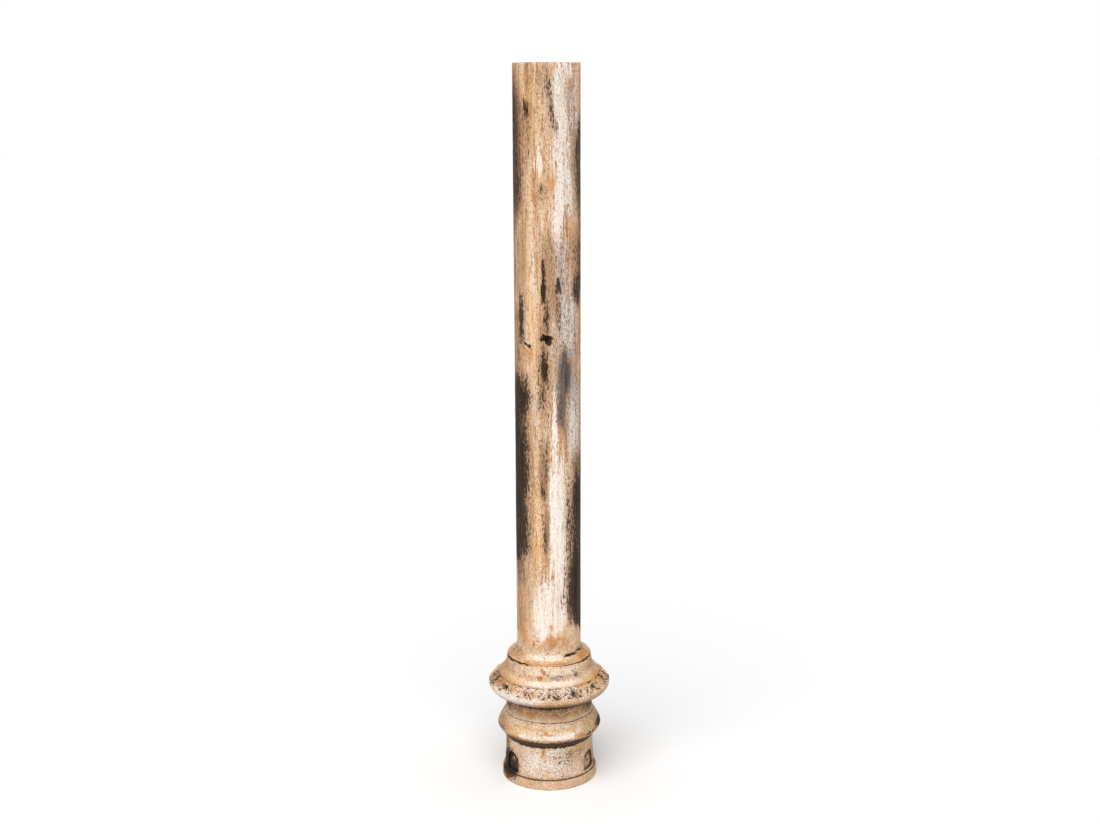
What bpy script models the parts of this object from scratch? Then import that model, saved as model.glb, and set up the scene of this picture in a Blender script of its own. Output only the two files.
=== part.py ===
"""Length of a cast iron column: a plain hollow shaft on a turned base with leaves and niches.

Metres, +Z up, the origin at the middle of the underside, and the column's front facing -Y.
The whole column is one hollow casting. Its outside is turned from one profile, its leaves and
bosses are joined to that, and its niches, bore and casting fault are cut from it.
"""

import bpy
import bmesh
from math import cos, pi, radians, sin
from mathutils import Matrix, Vector

# Shaft: the length is from the flare under it to the flat cut at the top
SHAFT_DIAMETER = 0.1143
SHAFT_LENGTH = 1.0185
BORE_DIAMETER = 0.084

# Flared ring at the foot of the shaft, with the thin crease that parts it from the band
FLARE_DIAMETER = 0.1490
FLARE_HEIGHT = 0.0115
FLARE_FALL = 1.35
CREASE_DEPTH = 0.0014
CREASE_HEIGHT = 0.0030

# Plain band between the crease and the leaf ring
BAND_TOP_DIAMETER = 0.1508
BAND_FOOT_DIAMETER = 0.1554
BAND_HEIGHT = 0.0193

# Leaf ring: a sloping top with a bead and a row of leaves, over a plain rounded lip
LEAF_RING_DIAMETER = 0.2172
LEAF_SLOPE_HEIGHT = 0.0281
BEAD_WIDTH = 0.0120
BEAD_RISE = 0.0016
BEAD_INSET = 0.0045
LIP_HEIGHT = 0.0204
LIP_FOOT_DIAMETER = 0.1876
LIP_FALL = 2.8

# Leaves: broad at the top and narrowing to a blunt tip at the rim, on ground that is sunk.
# A groove down each side parts an oval middle lobe from the two side lobes.
LEAF_COUNT = 14
LEAF_GROUND_DEPTH = 0.0026
LEAF_WIDTH = 0.0405
LEAF_TIP_WIDTH = 0.0130
LEAF_LENGTH = 0.0245
LEAF_RISE = 0.0034
LEAF_ROOT = 0.0012
LOBE_RISE = 0.0016
GROOVE_DEPTH = 0.0014

# Places on a leaf, as shares of its length from root to tip or of its half width
LEAF_SHOULDER = 0.35
LEAF_NARROWING = 1.2
ROOT_RISEN = 0.12
TIP_RISEN = 0.92
EDGE_STEEPNESS = 4
END_STEEPNESS = 0.5
LOBE_MIDDLE = 0.62
LOBE_REACH = 0.50
GROOVE_PLACE = 0.50
GROOVE_HALF_WIDTH = 0.25
GROOVE_REACH = 0.60

# Hollowed neck under the leaf ring
NECK_DIAMETER = 0.1540
NECK_FOOT_DIAMETER = 0.1584
NECK_HEIGHT = 0.0351
NECK_FLARE_HEIGHT = 0.0158
NECK_HOLLOW = 0.35
UNDERCUT_HEIGHT = 0.0040

# Heavy roll moulding, with a narrow fillet on top
ROLL_DIAMETER = 0.1860
ROLL_FILLET = 0.0010
ROLL_TOP_HEIGHT = 0.0261
ROLL_TOP_FALL = 1.42
ROLL_FOOT_HEIGHT = 0.0182
ROLL_FOOT_FALL = 1.3

# Drum with three sunk niches, and the low plain foot that it ends in
DRUM_TOP_DIAMETER = 0.1572
DRUM_FOOT_DIAMETER = 0.1626
DRUM_HEIGHT = 0.0633
DRUM_FLARE = 2.6
FOOT_DIAMETER = 0.1700
FOOT_HEIGHT = 0.0160
FOOT_EDGE = 0.0020

# Niches: sunk arches, evenly spaced, one at the back; each has a round boss in its middle
NICHE_COUNT = 3
NICHE_TURN = radians(3.0)
NICHE_WIDTH = 0.0340
NICHE_TOP_MARGIN = 0.0243
NICHE_FOOT_MARGIN = 0.0045
NICHE_DEPTH = 0.0036
BOSS_DIAMETER = 0.0105
BOSS_RISE = 0.0034
BOSS_SINK = 0.0004
BOSS_LEVEL = 0.0415

# Casting fault: one oval blow hole in the front of the shaft
BLOW_HOLE_WIDTH = 0.0190
BLOW_HOLE_HEIGHT = 0.0100
BLOW_HOLE_DEPTH = 0.0050
BLOW_HOLE_LEVEL = 0.8060
BLOW_HOLE_TURN = radians(-1.5)

# Fineness of the round forms
SIDES = 56
CURVE_STEPS = 5
ARCH_STEPS = 12
BOSS_SIDES = 10
BOSS_RINGS = 6
HOLE_SIDES = 12
HOLE_RINGS = 8
LEAF_COLUMNS = 8
LEAF_ROWS = 5

IRON_COLOUR = (0.72, 0.56, 0.42, 1.0)
IRON_ROUGHNESS = 0.72
IRON_METALLIC = 0.1
MERGE_DISTANCE = 0.00001

# Levels above the underside, added up from the sizes above
DRUM_FOOT_Z = FOOT_HEIGHT
DRUM_TOP_Z = DRUM_FOOT_Z + DRUM_HEIGHT
ROLL_Z = DRUM_TOP_Z + ROLL_FOOT_HEIGHT
NECK_FOOT_Z = ROLL_Z + ROLL_TOP_HEIGHT
LIP_FOOT_Z = NECK_FOOT_Z + NECK_HEIGHT
LEAF_RIM_Z = LIP_FOOT_Z + LIP_HEIGHT
BAND_FOOT_Z = LEAF_RIM_Z + LEAF_SLOPE_HEIGHT
BAND_TOP_Z = BAND_FOOT_Z + BAND_HEIGHT
FLARE_FOOT_Z = BAND_TOP_Z + CREASE_HEIGHT
SHAFT_FOOT_Z = FLARE_FOOT_Z + FLARE_HEIGHT
TOP_Z = SHAFT_FOOT_Z + SHAFT_LENGTH

# The leaf ring's slope, as a start, a direction down it and a direction straight out of it
SLOPE_START = Vector((BAND_FOOT_DIAMETER / 2, 0.0, BAND_FOOT_Z))
SLOPE_END = Vector((LEAF_RING_DIAMETER / 2, 0.0, LEAF_RIM_Z))
SLOPE_LENGTH = (SLOPE_END - SLOPE_START).length
SLOPE_DOWN = (SLOPE_END - SLOPE_START).normalized()
SLOPE_OUT = Vector((-SLOPE_DOWN.z, 0.0, SLOPE_DOWN.x))


def clear_scene():
    """Remove whatever the file held before."""
    for thing in list(bpy.data.objects):
        bpy.data.objects.remove(thing, do_unlink=True)


def make_collection(name):
    group = bpy.data.collections.new(name)
    bpy.context.scene.collection.children.link(group)
    return group


def make_material(name, colour, roughness, metallic):
    material = bpy.data.materials.new(name)
    material.use_nodes = True
    shader = material.node_tree.nodes["Principled BSDF"]
    shader.inputs["Base Color"].default_value = colour
    shader.inputs["Roughness"].default_value = roughness
    shader.inputs["Metallic"].default_value = metallic
    return material


def swell(full_radius, full_z, end_radius, end_z, power, steps=CURVE_STEPS):
    """Points of a moulding that leaves its widest place upright and falls away by a power."""
    points = []
    for step in range(steps + 1):
        part = step / steps
        radius = full_radius + (end_radius - full_radius) * part ** power
        points.append((radius, full_z + (end_z - full_z) * part))
    return points


def on_slope(down, out):
    """The radius and level of a point on the leaf ring's slope, moved straight out of it."""
    point = SLOPE_START + SLOPE_DOWN * down + SLOPE_OUT * out
    return (point.x, point.z)


def flare_points():
    """The ring under the shaft: it spreads to its rim, then the crease is cut in below it."""
    rim = FLARE_DIAMETER / 2
    points = swell(rim, FLARE_FOOT_Z, SHAFT_DIAMETER / 2, SHAFT_FOOT_Z, FLARE_FALL)
    points.reverse()
    points.append((rim - CREASE_DEPTH, FLARE_FOOT_Z - CREASE_HEIGHT / 2))
    points.append((BAND_TOP_DIAMETER / 2, BAND_TOP_Z))
    return points


def leaf_slope_points():
    """The slope from the band to the rim: a half-round bead, then the sunk ground of the leaves."""
    points = [(SLOPE_START.x, SLOPE_START.z), on_slope(BEAD_INSET, 0.0)]
    for step in range(1, CURVE_STEPS):
        part = step / CURVE_STEPS
        points.append(on_slope(BEAD_INSET + BEAD_WIDTH * part, BEAD_RISE * sin(pi * part)))
    points.append(on_slope(BEAD_INSET + BEAD_WIDTH, 0.0))
    ground_start = BEAD_INSET + BEAD_WIDTH + LEAF_GROUND_DEPTH
    ground_end = SLOPE_LENGTH - LEAF_GROUND_DEPTH
    points.append(on_slope(ground_start, -LEAF_GROUND_DEPTH))
    points.append(on_slope((ground_start + ground_end) / 2, -LEAF_GROUND_DEPTH))
    points.append(on_slope(ground_end, -LEAF_GROUND_DEPTH))
    return points


def neck_points():
    """The undercut below the lip, and the hollowed neck that spreads onto the roll."""
    under_z = LIP_FOOT_Z - UNDERCUT_HEIGHT
    flare_z = NECK_FOOT_Z + NECK_FLARE_HEIGHT
    neck = NECK_DIAMETER / 2
    foot = NECK_FOOT_DIAMETER / 2
    points = [(neck + UNDERCUT_HEIGHT, LIP_FOOT_Z - UNDERCUT_HEIGHT / 2), (neck, under_z)]
    points.append((neck, flare_z))
    points.append((neck + (foot - neck) * NECK_HOLLOW, (flare_z + NECK_FOOT_Z) / 2))
    points.append((foot, NECK_FOOT_Z))
    return points


def roll_points():
    """The heavy roll: its upper side from the fillet out, then its steeper underside."""
    widest = ROLL_DIAMETER / 2
    start = NECK_FOOT_DIAMETER / 2 + ROLL_FILLET
    points = swell(widest, ROLL_Z, start, NECK_FOOT_Z - ROLL_FILLET / 2, ROLL_TOP_FALL)
    points.reverse()
    points += swell(widest, ROLL_Z, DRUM_TOP_DIAMETER / 2, DRUM_TOP_Z, ROLL_FOOT_FALL)[1:]
    return points


def drum_radius(z):
    """The drum widens slowly, and faster towards its foot."""
    part = min(max((DRUM_TOP_Z - z) / DRUM_HEIGHT, 0.0), 1.0)
    return (DRUM_TOP_DIAMETER + (DRUM_FOOT_DIAMETER - DRUM_TOP_DIAMETER) * part ** DRUM_FLARE) / 2


def outer_profile():
    """The outside from the top cut down to the underside, as radius and level."""
    points = [(SHAFT_DIAMETER / 2, TOP_Z)]
    points += flare_points()
    points += leaf_slope_points()
    points += swell(LEAF_RING_DIAMETER / 2, LEAF_RIM_Z, LIP_FOOT_DIAMETER / 2, LIP_FOOT_Z, LIP_FALL)
    points += neck_points()
    points += roll_points()
    for step in range(1, CURVE_STEPS + 1):
        z = DRUM_TOP_Z - DRUM_HEIGHT * step / CURVE_STEPS
        points.append((drum_radius(z), z))
    foot = FOOT_DIAMETER / 2
    points.append((foot - FOOT_EDGE, DRUM_FOOT_Z))
    points.append((foot, DRUM_FOOT_Z - FOOT_EDGE))
    points.append((foot, 0.0))
    return points


def turn_profile(name, points, group):
    """Turn a closed outline of radius and level points round the column's axis."""
    mesh = bpy.data.meshes.new(name)
    shape = bmesh.new()
    corners = [shape.verts.new((radius, 0.0, z)) for radius, z in points]
    for corner, following in zip(corners, corners[1:] + corners[:1]):
        shape.edges.new((corner, following))
    shape.to_mesh(mesh)
    shape.free()
    turned = bpy.data.objects.new(name, mesh)
    group.objects.link(turned)
    screw = turned.modifiers.new("turned round the axis", "SCREW")
    screw.axis = "Z"
    screw.angle = 2 * pi
    screw.steps = SIDES
    screw.render_steps = SIDES
    screw.use_merge_vertices = True
    screw.merge_threshold = MERGE_DISTANCE
    return turned


def column_body(group):
    """The hollow casting before its leaves, niches and faults are made."""
    bore = BORE_DIAMETER / 2
    return turn_profile("column", outer_profile() + [(bore, 0.0), (bore, TOP_Z)], group)


def keep_as_guide(guide):
    """A joined or cutting shape shows as wires and is never drawn."""
    guide.hide_render = True
    guide.display_type = "WIRE"


def ovals(name, sizes, places, group, rings, sides):
    """One mesh of equal ovals, each of the given three half sizes, put at each place."""
    mesh = bpy.data.meshes.new(name)
    shape = bmesh.new()
    stretch = Matrix.Diagonal((sizes[0], sizes[1], sizes[2], 1.0))
    for place in places:
        bmesh.ops.create_uvsphere(
            shape, u_segments=sides, v_segments=rings, radius=1.0, matrix=place @ stretch
        )
    shape.to_mesh(mesh)
    shape.free()
    guide = bpy.data.objects.new(name, mesh)
    group.objects.link(guide)
    keep_as_guide(guide)
    return guide


def hump(value):
    """A smooth hump, one at zero and nothing from one outwards on either side."""
    return cos(pi / 2 * min(abs(value), 1.0)) ** 2


def leaf_half_width(part):
    """Half a leaf's width: full down to its shoulder, then narrowing to its tip."""
    narrowing = max(part - LEAF_SHOULDER, 0.0) / (1.0 - LEAF_SHOULDER)
    return (LEAF_WIDTH + (LEAF_TIP_WIDTH - LEAF_WIDTH) * narrowing ** LEAF_NARROWING) / 2


def leaf_rise(side, part):
    """How far a leaf stands out of its ground, side from -1 to 1 and part from root to tip."""
    along = sin(pi * (ROOT_RISEN + (TIP_RISEN - ROOT_RISEN) * part)) ** END_STEEPNESS
    body = LEAF_RISE * (1.0 - abs(side) ** EDGE_STEEPNESS) * along
    lobe = LOBE_RISE * hump(side / GROOVE_PLACE) * hump((part - LOBE_MIDDLE) / LOBE_REACH)
    from_groove = (abs(side) - GROOVE_PLACE) / GROOVE_HALF_WIDTH
    groove = GROOVE_DEPTH * hump(from_groove) * hump((part - GROOVE_PLACE) / GROOVE_REACH)
    return body + lobe - groove


def leaf_turns():
    """The leaves' middles: a gap between two leaves is at the column's front."""
    step = 2 * pi / LEAF_COUNT
    return [-pi / 2 + step * (number + 0.5) for number in range(LEAF_COUNT)]


def leaf_point(turn, side, part, sunk=0.0):
    """A point on a leaf, bent round the ring and standing out of the sunk ground."""
    edge = abs(side) == 1.0 or part in (0.0, 1.0)
    out = -LEAF_ROOT if edge else leaf_rise(side, part)
    down = SLOPE_LENGTH - LEAF_LENGTH * (1.0 - part)
    radius, z = on_slope(down, out - LEAF_GROUND_DEPTH - sunk)
    angle = turn + side * leaf_half_width(part) / radius
    return Vector((radius * cos(angle), radius * sin(angle), z))


def leaves(group):
    """The leaves, each a sheet shaped by the functions above and given a root under the ground."""
    mesh = bpy.data.meshes.new("leaves")
    shape = bmesh.new()
    for turn in leaf_turns():
        grid = bmesh.ops.create_grid(shape, x_segments=LEAF_COLUMNS, y_segments=LEAF_ROWS, size=1.0)
        faces = list({face for corner in grid["verts"] for face in corner.link_faces})
        grown = bmesh.ops.extrude_face_region(shape, geom=faces, use_keep_orig=True)
        for corner in grid["verts"]:
            side, part = round(corner.co.x, 5), round((corner.co.y + 1.0) / 2, 5)
            corner.co = leaf_point(turn, side, part)
        for corner in grown["geom"]:
            if isinstance(corner, bmesh.types.BMVert):
                side, part = round(corner.co.x, 5), round((corner.co.y + 1.0) / 2, 5)
                corner.co = leaf_point(turn, side, part, LEAF_RISE + LOBE_RISE + LEAF_ROOT)
    bmesh.ops.recalc_face_normals(shape, faces=shape.faces)
    shape.to_mesh(mesh)
    shape.free()
    guide = bpy.data.objects.new("leaves", mesh)
    group.objects.link(guide)
    keep_as_guide(guide)
    return guide


def niche_outline():
    """A niche's outline across and up: a straight foot and sides under a round arch."""
    half = NICHE_WIDTH / 2
    foot = DRUM_FOOT_Z + NICHE_FOOT_MARGIN
    spring = DRUM_TOP_Z - NICHE_TOP_MARGIN - half
    points = [(-half, foot), (half, foot)]
    for step in range(ARCH_STEPS + 1):
        angle = pi * step / ARCH_STEPS
        points.append((half * cos(angle), spring + half * sin(angle)))
    return points


def niche_turns():
    """The niches' middles: two stand either side of the column's front, the third at its back."""
    step = 2 * pi / NICHE_COUNT
    return [NICHE_TURN - pi / 2 + step * (number + 0.5) for number in range(NICHE_COUNT)]


def niche_cutter(name, turn, group):
    """A block with the niche's outline, reaching from inside the drum to well outside it."""
    mesh = bpy.data.meshes.new(name)
    shape = bmesh.new()
    inner = DRUM_TOP_DIAMETER / 4
    reach = FOOT_DIAMETER - inner
    corners = [shape.verts.new((inner, across, z)) for across, z in niche_outline()]
    face = shape.faces.new(corners)
    grown = bmesh.ops.extrude_face_region(shape, geom=[face])
    moved = [item for item in grown["geom"] if isinstance(item, bmesh.types.BMVert)]
    bmesh.ops.translate(shape, vec=(reach, 0.0, 0.0), verts=moved)
    bmesh.ops.recalc_face_normals(shape, faces=shape.faces)
    bmesh.ops.rotate(shape, matrix=Matrix.Rotation(turn, 3, "Z"), verts=shape.verts)
    shape.to_mesh(mesh)
    shape.free()
    cutter = bpy.data.objects.new(name, mesh)
    group.objects.link(cutter)
    keep_as_guide(cutter)
    return cutter


def niche_core(group):
    """The round core that is left standing behind the niches, so that their backs stay round."""
    points = []
    for step in range(CURVE_STEPS + 1):
        z = DRUM_TOP_Z - DRUM_HEIGHT * step / CURVE_STEPS
        points.append((drum_radius(z) - NICHE_DEPTH, z))
    inner = DRUM_TOP_DIAMETER / 8
    points += [(inner, DRUM_FOOT_Z), (inner, DRUM_TOP_Z)]
    core = turn_profile("niche core", points, group)
    keep_as_guide(core)
    return core


def boss_places():
    """One boss in the middle of each niche, standing on its sunk back."""
    radius = drum_radius(BOSS_LEVEL) - NICHE_DEPTH - BOSS_SINK
    lift = Matrix.Translation((radius, 0.0, BOSS_LEVEL))
    return [Matrix.Rotation(turn, 4, "Z") @ lift for turn in niche_turns()]


def blow_hole_place():
    """The blow hole's middle is on the surface of the shaft, just left of its front."""
    turn = BLOW_HOLE_TURN - pi / 2
    lift = Matrix.Translation((SHAFT_DIAMETER / 2, 0.0, BLOW_HOLE_LEVEL))
    return Matrix.Rotation(turn, 4, "Z") @ lift


def shape_by(body, other, operation):
    """Join another shape to the body, or cut it away."""
    change = body.modifiers.new(other.name, "BOOLEAN")
    change.operation = operation
    change.solver = "EXACT"
    change.object = other


def build_column():
    clear_scene()
    group = make_collection("cast iron column")
    guides = make_collection("guides")
    column = column_body(group)
    column.data.materials.append(
        make_material("weathered painted iron", IRON_COLOUR, IRON_ROUGHNESS, IRON_METALLIC)
    )
    shape_by(column, leaves(guides), "UNION")
    core = niche_core(guides)
    for number, turn in enumerate(niche_turns()):
        cutter = niche_cutter("niche {}".format(number + 1), turn, guides)
        shape_by(cutter, core, "DIFFERENCE")
        shape_by(column, cutter, "DIFFERENCE")
    boss_sizes = (BOSS_RISE, BOSS_DIAMETER / 2, BOSS_DIAMETER / 2)
    bosses = ovals("niche bosses", boss_sizes, boss_places(), guides, BOSS_RINGS, BOSS_SIDES)
    shape_by(column, bosses, "UNION")
    hole_sizes = (BLOW_HOLE_DEPTH, BLOW_HOLE_WIDTH / 2, BLOW_HOLE_HEIGHT / 2)
    hole = ovals("blow hole", hole_sizes, [blow_hole_place()], guides, HOLE_RINGS, HOLE_SIDES)
    shape_by(column, hole, "DIFFERENCE")


build_column()
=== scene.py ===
# %% [markdown]
# # A length of cast iron column
#
# The real thing is one hollow iron casting: a plain round shaft on a turned base with a ring of
# worn leaves, a hollowed neck, a heavy roll and a drum with three sunk arches. It carries old paint
# in creams and tans, with soot, rust and ochre run down it in streaks. This script loads the plain
# solid as a fixed frame, makes one detailed mesh in the same place, and gives it its finish.

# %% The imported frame
from math import atan2, cos, degrees, pi, radians, sin

import bmesh
import bpy
import numpy as np
from mathutils import Matrix, Vector, noise


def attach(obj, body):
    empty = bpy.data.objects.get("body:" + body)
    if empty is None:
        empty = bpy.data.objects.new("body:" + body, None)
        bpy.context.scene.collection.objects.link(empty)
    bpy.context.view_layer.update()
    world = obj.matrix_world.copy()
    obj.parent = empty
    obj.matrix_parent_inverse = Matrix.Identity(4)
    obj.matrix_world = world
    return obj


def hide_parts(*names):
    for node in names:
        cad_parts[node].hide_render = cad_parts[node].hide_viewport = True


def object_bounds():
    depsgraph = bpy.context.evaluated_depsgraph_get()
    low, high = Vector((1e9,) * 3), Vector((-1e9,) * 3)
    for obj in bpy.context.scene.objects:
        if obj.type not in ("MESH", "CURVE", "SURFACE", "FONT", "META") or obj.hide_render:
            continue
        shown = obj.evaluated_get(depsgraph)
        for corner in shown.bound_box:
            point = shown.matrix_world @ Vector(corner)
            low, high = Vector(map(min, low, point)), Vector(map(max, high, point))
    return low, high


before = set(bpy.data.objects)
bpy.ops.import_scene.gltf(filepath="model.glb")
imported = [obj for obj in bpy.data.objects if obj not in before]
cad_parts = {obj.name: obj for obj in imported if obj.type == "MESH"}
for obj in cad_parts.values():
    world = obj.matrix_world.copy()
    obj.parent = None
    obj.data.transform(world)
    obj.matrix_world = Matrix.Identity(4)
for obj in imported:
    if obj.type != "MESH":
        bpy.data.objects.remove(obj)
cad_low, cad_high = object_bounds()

top_level = cad_high.z
widest = cad_high.x
print("nodes", sorted(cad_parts), "height", round(top_level, 4), "widest", round(widest, 4))

# %% [markdown]
# ## The camera
#
# The photograph was taken from near the top of the column, looking slightly down, with a lens a
# little longer than normal. A camera is easiest to check when it is placed by real numbers: where
# it stands, how far it tips down, and the slight lean of the picture. Setting it first means that
# every later piece can be looked at from the right place.

# %% The camera
camera_place = Vector((0.0037, -2.5526, 1.2000))
camera_tip_down = radians(11.77)
camera_lean = radians(-0.249)
lens_length = 49.09
sensor_width = 36.0

camera_data = bpy.data.cameras.new("camera")
camera_data.lens = lens_length
camera_data.sensor_width = sensor_width
camera = bpy.data.objects.new("camera", camera_data)
bpy.context.scene.collection.objects.link(camera)
camera.matrix_world = (
    Matrix.Translation(camera_place)
    @ Matrix.Rotation(pi / 2 - camera_tip_down, 4, "X")
    @ Matrix.Rotation(camera_lean, 4, "Z")
)
bpy.context.scene.camera = camera
print("camera at", tuple(round(number, 4) for number in camera_place))

# %% [markdown]
# ## Floor and light
#
# The column stands on a plain white studio floor. A soft sun from the front, above and a little
# to the left draws the mouldings, and a pale sky fills the shadows. A sun is used rather than a
# lamp close by because it lights a wide floor evenly, so the floor stays white up to the horizon.

# %% The floor and the light
floor_reach = 30.0
floor_white = (0.97, 0.97, 0.97, 1.0)
floor_roughness = 0.9
sky_strength = 0.50
sun_strength = 2.1
sun_spread = radians(50)
sun_height = radians(58)
sun_turn = radians(-14)

floor_shape = bmesh.new()
bmesh.ops.create_grid(floor_shape, x_segments=1, y_segments=1, size=floor_reach)
floor_mesh = bpy.data.meshes.new("studio_floor")
floor_shape.to_mesh(floor_mesh)
floor_shape.free()
floor = bpy.data.objects.new("studio_floor", floor_mesh)
bpy.context.scene.collection.objects.link(floor)
floor_paint = bpy.data.materials.new("floor white")
floor_paint.use_nodes = True
floor_shader = floor_paint.node_tree.nodes["Principled BSDF"]
floor_shader.inputs["Base Color"].default_value = floor_white
floor_shader.inputs["Roughness"].default_value = floor_roughness
floor_mesh.materials.append(floor_paint)

sun_data = bpy.data.lights.new("soft sun", "SUN")
sun_data.energy = sun_strength
sun_data.angle = sun_spread
sun = bpy.data.objects.new("soft sun", sun_data)
bpy.context.scene.collection.objects.link(sun)
sun.rotation_euler = (pi / 2 - sun_height, 0.0, sun_turn)

sky = bpy.data.worlds.new("studio white")
bpy.context.scene.world = sky
sky.use_nodes = True
sky_nodes = sky.node_tree.nodes
sky_light = sky_nodes["Background"]
sky_light.inputs["Color"].default_value = (1.0, 1.0, 1.0, 1.0)
sky_light.inputs["Strength"].default_value = sky_strength
backdrop = sky_nodes.new("ShaderNodeBackground")
backdrop.inputs["Color"].default_value = (1.0, 1.0, 1.0, 1.0)
seen = sky_nodes.new("ShaderNodeLightPath")
either = sky_nodes.new("ShaderNodeMixShader")
sky.node_tree.links.new(seen.outputs["Is Camera Ray"], either.inputs["Fac"])
sky.node_tree.links.new(sky_light.outputs["Background"], either.inputs[1])
sky.node_tree.links.new(backdrop.outputs["Background"], either.inputs[2])
sky.node_tree.links.new(either.outputs["Shader"], sky_nodes["World Output"].inputs["Surface"])
bpy.context.scene.view_settings.view_transform = "Standard"
print("sun", sun_strength, "sky", sky_strength)

# %% [markdown]
# ## The column's outline
#
# A founder's pattern for a column is turned on a lathe, so its shape is one outline turned round
# the middle. The outline is built here moulding by moulding, from the top cut to the underside,
# each with its own few sizes. A moulding's curve is a power law: it leaves its widest place
# upright and falls away, which is how an ovolo or a roll looks. Each stretch is then walked in
# even steps, short ones where leaves and faults will be carved and longer ones on the plain shaft.

# %% Helpers for outlines
round_steps = 6


def swell(full_radius, full_level, end_radius, end_level, power, steps=24):
    """A moulding's curve, from its widest place to where it ends, as radius and level."""
    points = []
    for step in range(steps + 1):
        part = step / steps
        radius = full_radius + (end_radius - full_radius) * part ** power
        points.append((radius, full_level + (end_level - full_level) * part))
    return points


def even_steps(points, gap):
    """The same outline in even steps of about the gap, with both its ends kept."""
    corners = np.array(points)
    lengths = np.hypot(*np.diff(corners, axis=0).T)
    along = np.concatenate([[0.0], np.cumsum(lengths)])
    places = np.linspace(0.0, along[-1], max(int(round(along[-1] / gap)), 1) + 1)
    radii = np.interp(places, along, corners[:, 0])
    levels = np.interp(places, along, corners[:, 1])
    return list(zip(radii.tolist(), levels.tolist()))


def join_stretches(stretches):
    """One outline from many, without repeating the corner where two of them meet."""
    outline = []
    for stretch in stretches:
        for point in stretch:
            if not outline or max(abs(point[0] - outline[-1][0]), abs(point[1] - outline[-1][1])) > 1e-6:
                outline.append(point)
    return outline


def round_off(outline, corner, reach):
    """The outline with one corner replaced by a curve that starts and ends the reach away."""
    away = [((radius - corner[0]) ** 2 + (level - corner[1]) ** 2) ** 0.5 for radius, level in outline]
    first = last = away.index(min(away))
    while away[first] < reach:
        first -= 1
    while away[last] < reach:
        last += 1
    curve = []
    for step in range(1, round_steps):
        part = step / round_steps
        weights = ((1 - part) ** 2, 2 * part * (1 - part), part ** 2)
        points = (outline[first], corner, outline[last])
        curve.append(tuple(sum(weight * point[axis] for weight, point in zip(weights, points))
                           for axis in (0, 1)))
    return outline[:first + 1] + curve + outline[last:]


# %% [markdown]
# ### Shaft, flare and band
#
# The shaft is a plain tube, sawn off flat at the top. It stands in a ring that spreads out below
# it, and a thin dark crease parts that ring from the plain band under it. The shaft's steps are
# closest round its blow hole, a fault left by gas in the mould.

# %% Shaft, flare and band
shaft_radius = 0.1143 / 2
bore_radius = 0.084 / 2
saw_burr = 0.0006
flare_radius = 0.1490 / 2
flare_level = 0.2295
shaft_foot = 0.2410
flare_fall = 1.35
crease_depth = 0.0018
crease_height = 0.0030
band_top_radius = 0.1508 / 2
band_foot_radius = 0.1554 / 2
band_foot = 0.2072
blow_hole_level = 0.806

band_top = flare_level - crease_height
hole_top = blow_hole_level + 0.016
hole_foot = blow_hole_level - 0.020
streak_top = 0.960
streak_foot = 0.700

shaft_stretches = [
    even_steps([(bore_radius, top_level), (shaft_radius - saw_burr, top_level)], 0.008),
    [(shaft_radius - saw_burr, top_level), (shaft_radius, top_level - saw_burr)],
    even_steps([(shaft_radius, top_level - saw_burr), (shaft_radius, streak_top)], 0.0105),
    even_steps([(shaft_radius, streak_top), (shaft_radius, hole_top)], 0.0080),
    even_steps([(shaft_radius, hole_top), (shaft_radius, hole_foot)], 0.0016),
    even_steps([(shaft_radius, hole_foot), (shaft_radius, streak_foot)], 0.0080),
    even_steps([(shaft_radius, streak_foot), (shaft_radius, shaft_foot)], 0.0105),
    even_steps(swell(flare_radius, flare_level, shaft_radius, shaft_foot, flare_fall)[::-1], 0.0018),
    [(flare_radius, flare_level), (flare_radius - 0.0003, flare_level - 0.0007)],
    [(flare_radius - crease_depth, flare_level - crease_height / 2), (band_top_radius, band_top)],
    even_steps([(band_top_radius, band_top), (band_foot_radius, band_foot)], 0.0024),
]
print("rows down to the band's foot:", len(join_stretches(shaft_stretches)))

# %% [markdown]
# ### The leaf ring
#
# Below the band the casting spreads in a slope that carries a half-round bead and then the
# leaves, and turns under at a soft lip. Leaves are easier to carve when a place on the slope is
# told by how far down it is and how far out of it, so two directions are worked out once.

# %% The leaf ring
rim_radius = widest
rim_level = 0.1791
bead_start = 0.0040
bead_end = 0.0172
bead_rise = 0.0013
lip_foot_radius = 0.1876 / 2
lip_foot = 0.1587
lip_fall = 2.8

slope_start = Vector((band_foot_radius, band_foot))
slope_end = Vector((rim_radius, rim_level))
slope_length = (slope_end - slope_start).length
slope_down = (slope_end - slope_start).normalized()
slope_out = Vector((-slope_down.y, slope_down.x))


def on_slope(down, out=0.0):
    """Radius and level of a point on the slope, moved straight out of it."""
    point = slope_start + slope_down * down + slope_out * out
    return (point.x, point.y)


bead = []
for step in range(13):
    part = step / 12
    bead.append(on_slope(bead_start + (bead_end - bead_start) * part, bead_rise * sin(pi * part)))

leaf_stretches = [
    even_steps([on_slope(0.0), on_slope(bead_start)], 0.0022),
    even_steps(bead, 0.0015),
    even_steps([on_slope(bead_end), on_slope(slope_length)], 0.00095),
    even_steps(swell(rim_radius, rim_level, lip_foot_radius, lip_foot, lip_fall), 0.0016),
]
print("slope", round(slope_length, 4), "rows on the leaf ring:", len(join_stretches(leaf_stretches)))

# %% [markdown]
# ### Neck, roll, drum and foot
#
# Under the lip the casting draws in to a hollowed neck, then swells to a heavy roll with a fine
# fillet and two shallow steps on its upper side, and stands on a drum. The photograph's drum ends
# in a straight cut, so the low plain foot below it is a guess that closes the sunk arches.

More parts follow.
